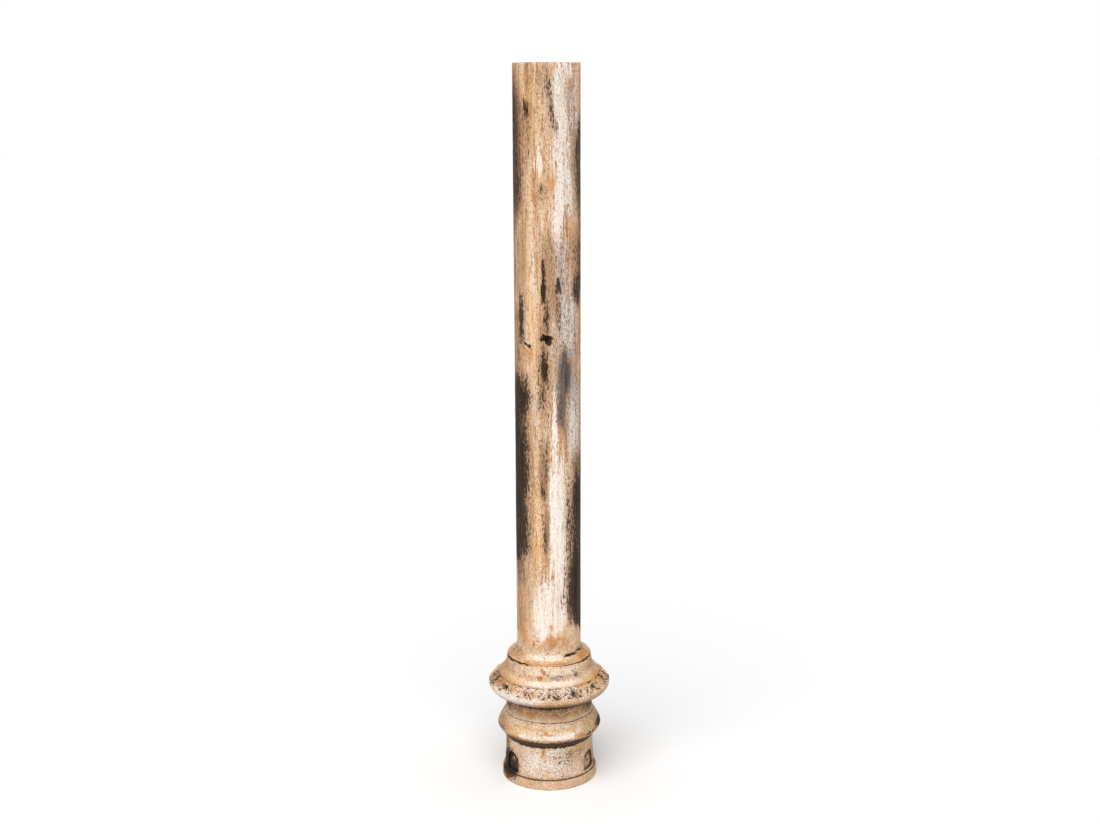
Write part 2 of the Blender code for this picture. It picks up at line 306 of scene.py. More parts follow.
# %% Neck, roll, drum and foot
neck_radius = 0.1540 / 2
neck_foot_radius = 0.1584 / 2
neck_foot = 0.1236
neck_flare = 0.0158
neck_hollow = 0.35
undercut = 0.0040
fillet = 0.0010
roll_radius = 0.1860 / 2
roll_level = 0.0975
roll_top_fall = 1.42
roll_foot_fall = 1.3
drum_top_radius = 0.1572 / 2
drum_foot_radius = 0.1626 / 2
drum_top = 0.0793
drum_foot = 0.0160
drum_flare = 2.6
foot_radius = 0.1700 / 2
foot_edge = 0.0020
bore_gap = 0.09


def drum_radius(level):
    """The drum widens slowly, and faster towards its foot."""
    part = min(max((drum_top - level) / (drum_top - drum_foot), 0.0), 1.0)
    return drum_top_radius + (drum_foot_radius - drum_top_radius) * part ** drum_flare


neck_middle = neck_foot + neck_flare / 2
hollow_radius = neck_radius + (neck_foot_radius - neck_radius) * neck_hollow
roll_start = neck_foot_radius + fillet
drum_side = [(drum_radius(drum_top - (drum_top - drum_foot) * step / 20),
              drum_top - (drum_top - drum_foot) * step / 20) for step in range(21)]

base_stretches = [
    even_steps([(lip_foot_radius, lip_foot), (neck_radius + undercut, lip_foot - undercut / 2)], 0.0022),
    [(neck_radius + undercut, lip_foot - undercut / 2), (neck_radius, lip_foot - undercut)],
    even_steps([(neck_radius, lip_foot - undercut), (neck_radius, neck_foot + neck_flare)], 0.0030),
    even_steps([(neck_radius, neck_foot + neck_flare), (hollow_radius, neck_middle),
                (neck_foot_radius, neck_foot + fillet)], 0.0016),
    [(neck_foot_radius - fillet / 2, neck_foot), (roll_start, neck_foot - fillet / 2)],
    even_steps(swell(roll_radius, roll_level, roll_start, neck_foot - fillet / 2, roll_top_fall)[::-1],
               0.0018),
    even_steps(swell(roll_radius, roll_level, drum_top_radius, drum_top, roll_foot_fall), 0.0020),
    even_steps(drum_side, 0.0028),
    [(drum_foot_radius, drum_foot), (foot_radius - foot_edge, drum_foot - 0.0003)],
    [(foot_radius - foot_edge * 0.3, drum_foot - foot_edge * 0.3), (foot_radius, drum_foot - foot_edge)],
    even_steps([(foot_radius, drum_foot - foot_edge), (foot_radius, 0.0)], 0.0050),
    even_steps([(foot_radius, 0.0), (bore_radius, 0.0)], 0.022),
    even_steps([(bore_radius, 0.0), (bore_radius, top_level)], bore_gap)[:-1],
]
outline = join_stretches(shaft_stretches + leaf_stretches + base_stretches)
outline = round_off(outline, (shaft_radius, shaft_foot), 0.0070)
outline = round_off(outline, (band_foot_radius, band_foot), 0.0040)
outline = round_off(outline, (drum_top_radius, drum_top), 0.0030)
print("points in the whole outline:", len(outline))

# %% [markdown]
# ## Turning the outline
#
# `bmesh.ops.spin` turns the outline into a surface, as a lathe would. With `use_merge` its last
# step is welded to the first, so the mesh is closed. The leaves need finer columns than the
# shaft, so only the rings in the leaf zone are subdivided once more.

# %% Turning the outline
leaf_count = 14
steps_per_leaf = 20
turn_steps = leaf_count * steps_per_leaf

casting = bmesh.new()
corners = [casting.verts.new((radius, 0.0, level)) for radius, level in outline]
spans = [casting.edges.new(pair) for pair in zip(corners, corners[1:] + corners[:1])]
bmesh.ops.spin(
    casting, geom=corners + spans, cent=(0.0, 0.0, 0.0), axis=(0.0, 0.0, 1.0),
    angle=2 * pi, steps=turn_steps, use_merge=True,
)
leaf_zone_top = on_slope(bead_end * 0.5)[1]
leaf_zone_foot = rim_level - 0.006
rings = []
for edge in casting.edges:
    first, second = (corner.co for corner in edge.verts)
    level = (first.z + second.z) / 2
    outside = first.xy.length > bore_radius + 0.001
    if outside and abs(first.z - second.z) < 1e-6 and leaf_zone_foot < level < leaf_zone_top:
        if abs(first.xy.length - second.xy.length) < 1e-5:
            rings.append(edge)
bmesh.ops.subdivide_edges(casting, edges=rings, cuts=1)
bmesh.ops.recalc_face_normals(casting, faces=casting.faces)
print("corners after turning:", len(casting.verts))

# %% [markdown]
# ## Carving the leaves
#
# Fourteen leaves lie on the slope. Each is broad at its root and narrows to a blunt tip at the
# rim, with an oval lobe between two side lobes. Between them the mould left deep narrow holes,
# each with a small dart below it. The carving moves the mesh's corners straight out of the
# slope, as a sculpting brush would, and a slow noise wears some leaves down more than others.

# %% How far the leaves stand out
leaf_count_turn = 2 * pi / leaf_count
leaf_length = 0.0245
leaf_width = 0.0405
leaf_tip_width = 0.0150
leaf_shoulder = 0.35
leaf_narrowing = 1.2
leaf_rise = 0.0046
lobe_rise = 0.0016
groove_depth = 0.0026
ground_depth = 0.0040
hole_depth = 0.0060
hole_turn = radians(2.9)
hole_radius = 0.1010
hole_reach = 0.0056
dart_rise = 0.0034
undercut_depth = 0.0030
lump_rise = 0.0016
small_lump_rise = 0.0008


def hump(value):
    """A smooth hump: one at zero, nothing from one outwards on either side."""
    return cos(pi / 2 * min(abs(value), 1.0)) ** 2


def ease(value, low, high):
    """A smooth rise from nothing at the low value to one at the high value."""
    part = min(max((value - low) / (high - low), 0.0), 1.0)
    return part * part * (3 - 2 * part)


def leaf_half_turn(part, radius):
    """Half a leaf's width as a turn: full down to its shoulder, then narrowing to its tip."""
    narrowing = max(part - leaf_shoulder, 0.0) / (1.0 - leaf_shoulder)
    width = leaf_width + (leaf_tip_width - leaf_width) * narrowing ** leaf_narrowing
    return width / 2 / radius


def leaf_relief(turn, down):
    """How far the surface stands out of the slope, at a turn from the front and a place down it."""
    radius = on_slope(down)[0]
    part = 1.0 - (slope_length - down) / leaf_length
    number = turn // leaf_count_turn
    from_middle = turn - (number + 0.5) * leaf_count_turn
    from_gap = leaf_count_turn / 2 - abs(from_middle)
    around = Vector((cos(turn) * radius, sin(turn) * radius, down))
    worn = 0.85 + 0.40 * noise.noise(around * 22)
    swing = 0.16 * noise.noise(Vector((number * 3.7, 1.0, part * 1.5)))
    side = from_middle / leaf_half_turn(part, radius) + swing
    body = leaf_rise * max(1.0 - abs(side) ** 8, 0.0) * (0.35 + 0.65 * ease(part, -0.1, 0.55))
    lobe = lobe_rise * hump(side / 0.36) * hump((part - 0.62) / 0.5)
    groove = groove_depth * hump((abs(side) - 0.50) / 0.20) * hump((part - 0.55) / 0.55)
    cut_under = undercut_depth * hump((side + 0.90) / 0.26) * ease(part, 0.30, 0.65)
    leaf = (body + lobe - groove) * worn if abs(side) < 1.0 else 0.0
    bite = 0.80 + 0.5 * noise.noise(Vector((round(turn / leaf_count_turn) * 5.3, 2.0, 0.0)))
    hole = hole_depth * bite * hump(from_gap / hole_turn) * hump((radius - hole_radius) / hole_reach)
    dart_half = radians(4.6) * ease(radius, 0.1025, rim_radius)
    dart = dart_rise * ease(radius, 0.1030, 0.1062) * hump(from_gap / max(dart_half, 1e-4))
    lumps = lump_rise * noise.noise(around * 130) + small_lump_rise * noise.noise(around * 330)
    return leaf - ground_depth - hole - cut_under + dart + lumps


# %% Carving them
def carve_leaves(turn, down, radius, level):
    """Move a point of the slope to where the carving puts it, easing in below the bead."""
    into = ease(down, bead_end - 0.0010, bead_end + 0.0022)
    before_rim = 1.0 - ease(down, slope_length - 0.0026, slope_length)
    room = (rim_radius - 0.0003 - radius) / slope_out.x
    out = min(leaf_relief(turn, down) * into * before_rim, max(room, 0.0))
    return radius + slope_out.x * out, level + slope_out.y * out


print("leaf relief at a leaf's middle:", round(leaf_relief(leaf_count_turn / 2, slope_length * 0.8), 5))

# %% [markdown]
# ## Faults and wear
#
# Sand-cast iron is never quite true. The shaft has a torn oval blow hole near its front and two
# nicks beside it, and a gouge runs round the top of the flare on the right. A slow unevenness
# and a fine one are laid over everything, small enough to keep every size as it was.

# %% Faults and wear
hole_turn_place = radians(-1.5)
hole_half_width = 0.0112
hole_half_height = 0.0062
blow_depth = 0.0078
nicks = [(radians(-42), 0.7942, 0.0054, 0.0026), (radians(-33), 0.7929, 0.0054, 0.0023)]
nick_depth = 0.0046
nick_slant = 0.15
gouge_start = (radians(26.0), 0.0607, 0.2399)
gouge_end = (radians(73.0), 0.0580, 0.2422)
gouge_half_width = 0.0021
gouge_depth = 0.0024
slow_wave = 0.00035
fine_wave = 0.00022


def blow_hole(turn, level):
    """Depth of the blow hole and the nicks at a place on the shaft, with torn edges."""
    across = (turn - hole_turn_place) * shaft_radius
    up = level - blow_hole_level
    torn = 0.35 * noise.noise(Vector((across * 420, up * 500, 3.0)))
    reach = (abs(across / hole_half_width) ** 2 + abs(up / hole_half_height) ** 2) ** 0.5 + torn
    depth = blow_depth * (1.0 - ease(reach, 0.55, 1.0))
    for nick_turn, nick_level, half_width, half_height in nicks:
        aside = (turn - nick_turn) * shaft_radius / half_width
        above = (level - nick_level + nick_slant * (turn - nick_turn) * shaft_radius) / half_height
        depth += nick_depth * hump((aside ** 2 + above ** 2) ** 0.5)
    return depth


def gouge(turn, radius, level):
    """Depth of the gouge, a long groove that climbs from the flare's front to the shaft's side."""
    part = (turn - gouge_start[0]) / (gouge_end[0] - gouge_start[0])
    if not -0.05 < part < 1.05:
        return 0.0
    line_radius = gouge_start[1] + (gouge_end[1] - gouge_start[1]) * part
    line_level = gouge_start[2] + (gouge_end[2] - gouge_start[2]) * part
    away = ((radius - line_radius) ** 2 + (level - line_level) ** 2) ** 0.5
    ends = ease(part, -0.05, 0.12) * (1.0 - ease(part, 0.90, 1.05))
    return gouge_depth * hump(away / gouge_half_width) * ends


def uneven(point):
    """The casting's own unevenness, slow and fine together."""
    slow = noise.noise(Vector((point.x * 9, point.y * 9, point.z * 5)))
    fine = noise.noise(Vector((point.x * 160, point.y * 160, point.z * 110)))
    return slow_wave * (slow - 0.5) + fine_wave * (fine - 0.4)


# %% Moving the corners
for corner in casting.verts:
    point = corner.co.copy()
    radius, level, turn = point.xy.length, point.z, atan2(point.x, -point.y)
    if radius < bore_radius + 1e-4 or level < 1e-5 or level > top_level - 1e-5:
        continue
    new_radius, new_level = radius, level
    down = (Vector((radius, level)) - slope_start).dot(slope_down)
    if rim_level - 1e-5 <= level < band_foot and down > bead_end:
        new_radius, new_level = carve_leaves(turn, down, radius, level)
    if level > shaft_foot:
        new_radius -= blow_hole(turn, level)
    if flare_level < level < shaft_foot + 0.006:
        new_radius -= gouge(turn, radius, level)
        new_level -= 0.5 * gouge(turn, radius, level)
    new_radius = min(new_radius + uneven(point), widest - 0.00005)
    corner.co = Vector((point.x / radius * new_radius, point.y / radius * new_radius, new_level))
print("corners moved:", len(casting.verts))

# %% [markdown]
# ## Sunk arches and bosses
#
# Three arched niches are sunk into the drum, evenly spaced, and a round boss stands in the middle
# of each. Crisp edges like these are cut with another shape rather than pushed into the mesh. The
# cutter is the niche's outline drawn outwards, less a round core, so that its back stays round.

# %% The column's object
def new_object(name, shape):
    """An object at the origin that holds the shape."""
    mesh = bpy.data.meshes.new(name)
    shape.to_mesh(mesh)
    shape.free()
    made = bpy.data.objects.new(name, mesh)
    bpy.context.scene.collection.objects.link(made)
    return made


column = new_object("cast_iron_column", casting)

# %% Niche cutters
niche_count = 3
niche_turn = radians(3.0)
niche_half_width = 0.0340 / 2
niche_top = drum_top - 0.0243
niche_foot = drum_foot + 0.0045
niche_depth = 0.0036
arch_steps = 24
niche_turns = [niche_turn - pi / 2 + 2 * pi / niche_count * (number + 0.5)
               for number in range(niche_count)]


def niche_outline():
    """A niche's outline across and up: a straight foot and sides under a round arch."""
    points = [(-niche_half_width, niche_foot), (niche_half_width, niche_foot)]
    spring = niche_top - niche_half_width
    for step in range(arch_steps + 1):
        angle = pi * step / arch_steps
        points.append((niche_half_width * cos(angle), spring + niche_half_width * sin(angle)))
    return points


def niche_cutter(turn):
    """A block with the niche's outline, reaching from inside the drum to well outside it."""
    shape = bmesh.new()
    inner = drum_top_radius / 2
    face = shape.faces.new([shape.verts.new((inner, across, up)) for across, up in niche_outline()])
    grown = bmesh.ops.extrude_face_region(shape, geom=[face])
    moved = [item for item in grown["geom"] if isinstance(item, bmesh.types.BMVert)]
    bmesh.ops.translate(shape, vec=(foot_radius, 0.0, 0.0), verts=moved)
    bmesh.ops.recalc_face_normals(shape, faces=shape.faces)
    bmesh.ops.rotate(shape, matrix=Matrix.Rotation(turn, 3, "Z"), verts=shape.verts)
    return new_object("niche cutter", shape)


def niche_core():
    """The round core left standing behind the niches."""
    shape = bmesh.new()
    side = [(drum_radius(drum_top - (drum_top - drum_foot) * step / 12) - niche_depth,
             drum_top - (drum_top - drum_foot) * step / 12) for step in range(13)]
    ring = side + [(drum_top_radius / 4, drum_foot), (drum_top_radius / 4, drum_top)]
    corners = [shape.verts.new((radius, 0.0, level)) for radius, level in ring]
    spans = [shape.edges.new(pair) for pair in zip(corners, corners[1:] + corners[:1])]
    bmesh.ops.spin(shape, geom=corners + spans, cent=(0.0, 0.0, 0.0), axis=(0.0, 0.0, 1.0),
                   angle=2 * pi, steps=turn_steps, use_merge=True)
    bmesh.ops.recalc_face_normals(shape, faces=shape.faces)
    return new_object("niche core", shape)


def join_or_cut(body, other, operation):
    """Apply a Boolean with the other object to the body's mesh; the caller removes the other object."""
    change = body.modifiers.new(other.name, "BOOLEAN")
    change.operation = operation
    change.solver = "EXACT"
    change.object = other
    seen_now = bpy.context.evaluated_depsgraph_get()
    made = bpy.data.meshes.new_from_object(body.evaluated_get(seen_now), depsgraph=seen_now)
    body.modifiers.clear()
    old = body.data
    body.data = made
    bpy.data.meshes.remove(old)
    return body


core = niche_core()
for turn in niche_turns:
    cutter = join_or_cut(niche_cutter(turn), core, "DIFFERENCE")
    join_or_cut(column, cutter, "DIFFERENCE")
    bpy.data.objects.remove(cutter, do_unlink=True)
bpy.data.objects.remove(core, do_unlink=True)
print("faces after the niches:", len(column.data.polygons))

# %% Niche bosses
boss_radius = 0.0105 / 2
boss_rise = 0.0034
boss_sink = 0.0004
boss_level = 0.0415

bosses = bmesh.new()
boss_base = drum_radius(boss_level) - niche_depth - boss_sink
for turn in niche_turns:
    place = (Matrix.Rotation(turn, 4, "Z") @ Matrix.Translation((boss_base, 0.0, boss_level))
             @ Matrix.Rotation(pi / 2, 4, "Y")
             @ Matrix.Diagonal((boss_radius, boss_radius, boss_rise, 1.0)))
    bmesh.ops.create_uvsphere(bosses, u_segments=24, v_segments=12, radius=1.0, matrix=place)
boss_object = new_object("niche bosses", bosses)
join_or_cut(column, boss_object, "UNION")
bpy.data.objects.remove(boss_object, do_unlink=True)
print("faces after the bosses:", len(column.data.polygons))

# %% Closing and shading the mesh
weld_gap = 0.00001
sharp_edge = radians(38)

finished = bmesh.new()
finished.from_mesh(column.data)
bmesh.ops.remove_doubles(finished, verts=finished.verts, dist=weld_gap)
bmesh.ops.dissolve_degenerate(finished, edges=finished.edges, dist=weld_gap / 2)
bmesh.ops.triangulate(finished, faces=[face for face in finished.faces if len(face.verts) > 4])
bmesh.ops.recalc_face_normals(finished, faces=finished.faces)
open_edges = sum(1 for edge in finished.edges if len(edge.link_faces) != 2)
triangles = sum(len(face.verts) - 2 for face in finished.faces)
finished.to_mesh(column.data)
finished.free()
column.data.shade_smooth()
column.data.set_sharp_from_angle(angle=sharp_edge)
print("triangles", triangles, "edges that aren't closed", open_edges)

# %% [markdown]
# ## Where the stains lie
#
# Rain and smoke have run down the column for a century, so nearly every stain is an upright
# streak with a ragged edge. Each streak is told by its turn from the front, its lower and upper
# level, its half width as a turn, and its strength. They are kept in families by colour and
# written on the mesh as attributes. Some soot, umber and slate entries are painted shade rather
# than stains: under the lip, under the roll, and in the holes and along the edges of the leaves.
# The material later breaks their soft edges up with noise, so the mesh need only hold where a
# stain is, and not its grain.

# %% Soot and painted shade: brown-black streaks, and painted shadow under the lip, the roll and the leaves
soot_and_shade = [
    (-37, 1.172, 1.200, 6, 1.00),
    (-35, 1.185, 1.196, 3, 0.75),
    (4, 1.199, 1.258, 5, 0.55),
    (9, 1.159, 1.215, 5, 0.80),
    (16, 1.141, 1.170, 4.8, 0.60),
    (-10, 1.044, 1.065, 3, 0.80),
    (-7, 0.871, 0.942, 4, 0.90),
    (-7, 0.868, 0.898, 5, 1.15),
    (-2, 0.817, 0.871, 5, 0.80),
    (18, 0.876, 0.906, 7, 0.85),
    (19, 0.883, 0.898, 3.6, 0.90),
    (19, 0.829, 0.871, 5.4, 0.45),
    (-52, 0.793, 0.884, 8, 0.90),
    (66, 0.856, 0.913, 19, 1.05),
    (80, 0.890, 1.010, 24, 0.60),
    (70, 0.910, 0.973, 15, 0.50),
    (-7, 0.744, 0.797, 6, 0.70),
    (-6, 0.728, 0.773, 6, 0.95),
    (-9, 0.680, 0.730, 6.2, 0.45),
    (-67, 0.660, 0.747, 37.2, 1.30),
    (-71, 0.494, 0.672, 33, 1.45),
    (-70, 0.403, 0.522, 34.2, 1.25),
    (-60, 0.362, 0.413, 18.1, 0.50),
    (-6, 0.532, 0.546, 5.3, 0.90),
    (-2, 0.543, 0.582, 2.6, 0.40),
    (74, 0.485, 0.607, 29.8, 0.80),
    (76, 0.329, 0.560, 38, 1.15),
    (72, 0.334, 0.413, 32.3, 1.30),
    (66, 0.317, 0.367, 38.3, 1.20),
    (69, 0.293, 0.335, 34.6, 1.15),
    (75, 0.280, 0.306, 28.8, 1.00),
    (78, 1.000, 1.175, 28, 0.90),
    (56, 1.057, 1.110, 10.6, 0.35),
    (-76, 1.000, 1.232, 30, 0.90),
    (-4, 0.414, 0.480, 3.1, 0.50),
    (93, 0.600, 0.770, 14, 0.35),
    (-64, 0.746, 0.801, 7.9, 0.50),
    # thin dusting round the darker streaks
    (1, 1.205, 1.260, 13, 0.26),
    (26, 1.180, 1.260, 16, 0.18),
    (12, 1.120, 1.205, 12, 0.28),
    (-36, 1.090, 1.200, 10, 0.28),
    (-13, 1.020, 1.075, 18, 0.25),
    (8, 0.850, 0.985, 20, 0.34),
    (60, 0.850, 0.985, 14, 0.42),
    (-54, 0.760, 0.900, 12, 0.36),
    (22, 0.765, 0.850, 16, 0.28),
    (-2, 0.800, 0.850, 9, 0.40),
    (-8, 0.655, 0.800, 12, 0.50),
    (27, 0.640, 0.800, 16, 0.32),
    (31, 0.715, 0.768, 9, 0.35),
    (-36, 0.420, 0.740, 12, 0.34),
    (-7, 0.520, 0.640, 11, 0.42),
    (-3, 0.400, 0.520, 8, 0.40),
    (40, 0.320, 0.600, 12, 0.34),
    (86, 0.600, 0.860, 14, 0.40),
    (0, 0.018, 0.078, 60, 0.17),
    # the blow hole, the crease, the gouge and the leaf ring's far sides, then painted shade in the leaves' holes
    # and painted shadow along their lower edges
    (-1.5, 0.7990, 0.8130, 10, 1.50),
    (-42, 0.7925, 0.7955, 5, 1.80),
    (-37, 0.7920, 0.7948, 4, 1.70),
    (-32, 0.7913, 0.7940, 5, 1.70),
    (-66, 0.2258, 0.2302, 19, 1.30),
    (-40, 0.2262, 0.2300, 16, 1.10),
    (63, 0.2260, 0.2302, 25, 1.05),
    (40, 0.2388, 0.2412, 13, 1.80),
    (62, 0.2400, 0.2428, 13, 1.20),
    (-88, 0.172, 0.196, 6, 0.60),
    (90, 0.172, 0.196, 6, 0.75),
    (0, 0.180, 0.194, 95, 0.35),
    # painted shade in the holes between the leaves, and painted shadow along three leaves' lower edges
    (77, 0.178, 0.193, 4, 1.00),
    (54, 0.180, 0.191, 2.6, 0.80),
    (-77, 0.178, 0.193, 4, 1.00),
    (-51, 0.180, 0.191, 3, 0.80),
    (7, 0.1775, 0.1860, 5, 0.70),
    (24, 0.178, 0.187, 3, 0.55),
    (39, 0.181, 0.188, 4, 0.65),
    # painted shadow under the lip, stronger at both sides, and a painted shadow line at the neck's foot
    (68, 0.128, 0.158, 18, 0.80),
    (-70, 0.130, 0.158, 14, 0.75),
    (0, 0.1470, 0.1620, 250, 1.10),
    (0, 0.1228, 0.1252, 100, 0.60),
    # the roll: stains on its sides, then painted shadow on its underside
    (80, 0.097, 0.110, 14, 1.30),
    (52, 0.094, 0.101, 13, 0.80),
    (-70, 0.097, 0.105, 12, 0.65),
    # painted shadow on the roll's underside and on the drum's top under it
    (0, 0.0770, 0.0905, 80, 2.20),
    (0, 0.0785, 0.0860, 250, 0.80),
    (0, 0.0850, 0.0970, 80, 0.38),
    # the drum: black pepper on the right, and the left niche darkened to black
    (22, 0.040, 0.074, 22, 0.42),
    (40, 0.050, 0.080, 16, 0.36),
    (-74, 0.055, 0.084, 14, 0.70),
    (-66, 0.004, 0.056, 22, 1.70),
    (90, 0.016, 0.040, 30, 0.55),
]
print("soot stains:", len(soot_and_shade))

# %% Slate: blue-black stains, and painted shade in one hole between the leaves
slate = [
    (29, 0.706, 0.778, 14, 1.05),
    (30, 0.685, 0.800, 26, 0.50),
    (30, 0.721, 0.762, 12.1, 0.90),
    (24, 0.638, 0.724, 9, 0.95),
    (28, 0.762, 0.790, 5.9, 0.70),
    (38, 0.794, 0.874, 8, 0.25),
    (22, 0.913, 0.985, 12.0, 0.22),
    (57, 0.865, 0.900, 9.5, 0.60),
    (40, 0.388, 0.577, 6.9, 0.35),
    (34, 0.335, 0.402, 7.5, 0.50),
    (54, 0.780, 0.860, 8, 0.18),
    (10, 1.199, 1.260, 5.9, 0.25),
    (17, 0.203, 0.213, 16, 0.42),
    (39, 0.2045, 0.2130, 4, 0.75),
    (35, 0.213, 0.220, 4, 0.40),
    (45, 0.168, 0.177, 12, 0.45),
    # painted shade in the hole between two leaves
    (26, 0.178, 0.190, 3, 0.90),
    (26, 0.092, 0.098, 12, 0.45),
    (22, 0.046, 0.066, 14, 0.30),
]
print("slate stains:", len(slate))

# %% Rust
rust = [
    (-23, 1.031, 1.051, 4.6, 0.90),
    (8, 1.056, 1.075, 6.0, 0.60),
    (-33, 0.772, 0.789, 9.3, 0.80),
    (-39, 0.758, 0.786, 4.4, 0.50),
    (1, 0.471, 0.496, 2.2, 0.90),
    (7, 0.372, 0.396, 2.7, 1.00),
    (-27, 0.251, 0.266, 3.3, 1.20),
    (-52, 0.250, 0.297, 14, 0.75),
    (15, 0.254, 0.280, 27, 0.65),
    (6, 0.256, 0.271, 7.2, 0.60),
    (-19, 0.574, 0.652, 14.0, 0.30),
    (-56, 0.270, 0.370, 16, 0.35),
    (-17, 0.525, 0.592, 4.6, 0.35),
    (62, 0.2295, 0.240, 16, 0.95),
    (4, 0.2294, 0.2325, 44, 0.80),
    (-9, 0.2160, 0.2255, 2.2, 1.40),
    (-6, 0.2120, 0.2210, 2.4, 1.40),
    (-1, 0.2110, 0.2150, 3, 1.20),
    (-12, 0.2040, 0.2120, 3.5, 0.90),
    (-62, 0.184, 0.202, 18, 0.50),
    (-26, 0.180, 0.191, 3, 0.70),
    (-22, 0.130, 0.150, 16, 0.45),
    (-3, 0.1060, 0.1125, 3, 1.20),
    (3, 0.1045, 0.1080, 4, 0.90),
    (36, 0.0955, 0.1045, 8, 1.15),
    (70, 0.186, 0.204, 14, 0.50),
    (-42, 0.086, 0.100, 12, 0.85),
    (-9, 0.060, 0.076, 2, 0.95),
    (-6, 0.048, 0.058, 2.5, 0.60),
    (-86, 0.212, 0.226, 12, 0.45),
]
print("rust stains:", len(rust))

# %% Ochre: old yellow paint
ochre = [
    (-34, 1.116, 1.260, 22.6, 0.55),
    (-20, 1.011, 1.098, 28, 0.45),
    (7, 1.044, 1.098, 6.8, 0.70),
    (-34, 0.884, 1.024, 17, 0.50),
    (-26, 0.766, 0.895, 12, 0.75),
    (-21, 0.762, 0.807, 7.4, 0.80),
    (45, 0.909, 1.016, 10.9, 0.50),
    (10, 0.804, 0.844, 6.1, 0.35),
    (-23, 0.714, 0.773, 11.3, 0.60),
    (4, 0.713, 0.751, 4.8, 0.80),
    (-20, 0.403, 0.546, 10.9, 1.20),
    (-23, 0.340, 0.413, 9.7, 0.40),
    (-52, 0.250, 0.372, 18, 0.35),
    (24, 0.250, 0.293, 30.9, 0.50),
    (-18, 0.578, 0.666, 14.9, 0.30),
    (0, 0.2300, 0.2354, 85, 0.95),
    (-45, 0.233, 0.241, 24, 0.45),
    (-28, 0.203, 0.210, 10, 0.85),
    (58, 0.186, 0.204, 24, 0.95),
    (-56, 0.184, 0.204, 26, 0.90),
    (-17, 0.181, 0.190, 7, 0.80),
    (-40, 0.180, 0.192, 8, 0.45),
    (32, 0.181, 0.191, 6, 0.50),
    (6, 0.160, 0.177, 20, 0.80),
    (0, 0.110, 0.1175, 80, 0.75),
    (0, 0.208, 0.227, 90, 0.40),
    (0, 0.178, 0.2045, 90, 0.42),
    (0, 0.086, 0.122, 90, 0.24),
    (0, 0.018, 0.078, 80, 0.15),
    (0, 0.234, 0.262, 90, 0.20),
    (0, 0.119, 0.1215, 75, 0.50),
    (-48, 0.096, 0.112, 18, 0.50),
    (-8, 0.052, 0.078, 4, 0.70),
    (48, 0.056, 0.078, 12, 0.75),
]
print("ochre stains:", len(ochre))

# %% Pale: the last cream paint
pale = [
    (24, 1.161, 1.262, 13, 0.95),
    (42, 1.236, 1.260, 11.3, 1.00),
    (26, 1.005, 1.190, 17, 1.05),
    (-15, 1.086, 1.103, 8.7, 1.40),
    (-11, 1.083, 1.138, 3.9, 0.80),
    (-25, 0.766, 0.999, 5, 0.75),
    (18, 0.950, 1.035, 9, 1.00),
    (11, 0.807, 0.844, 5.3, 0.80),
    (40, 0.770, 0.870, 14, 0.60),
    (50, 0.600, 0.740, 20, 0.40),
    (12, 0.659, 0.740, 3.8, 0.90),
    (10, 0.575, 0.687, 6.2, 0.90),
    (21, 0.482, 0.599, 19.1, 0.95),
    (18, 0.271, 0.510, 17.1, 1.25),
    (-11, 0.271, 0.380, 18, 1.10),
    (47, 0.488, 0.535, 3.7, 0.70),
    (-24, 0.578, 0.704, 6.7, 0.30),
    (-8, 0.2335, 0.2440, 40, 0.80),
    (5, 0.1945, 0.2040, 40, 1.10),
    (4, 0.2085, 0.2270, 50, 0.75),
    (-44, 0.160, 0.182, 34, 0.95),
    (-12, 0.164, 0.180, 10, 0.60),
    (-56, 0.130, 0.150, 8, 0.60),
    (0, 0.1212, 0.1232, 75, 0.70),
    (0, 0.106, 0.121, 60, 0.75),
    (0, 0.178, 0.197, 80, 0.80),
    (16, 0.096, 0.108, 24, 1.05),
    (-24, 0.096, 0.105, 18, 0.70),
    (-24, 0.020, 0.070, 14, 0.45),
    (4, 0.030, 0.079, 34, 0.75),
]
print("pale stains:", len(pale))

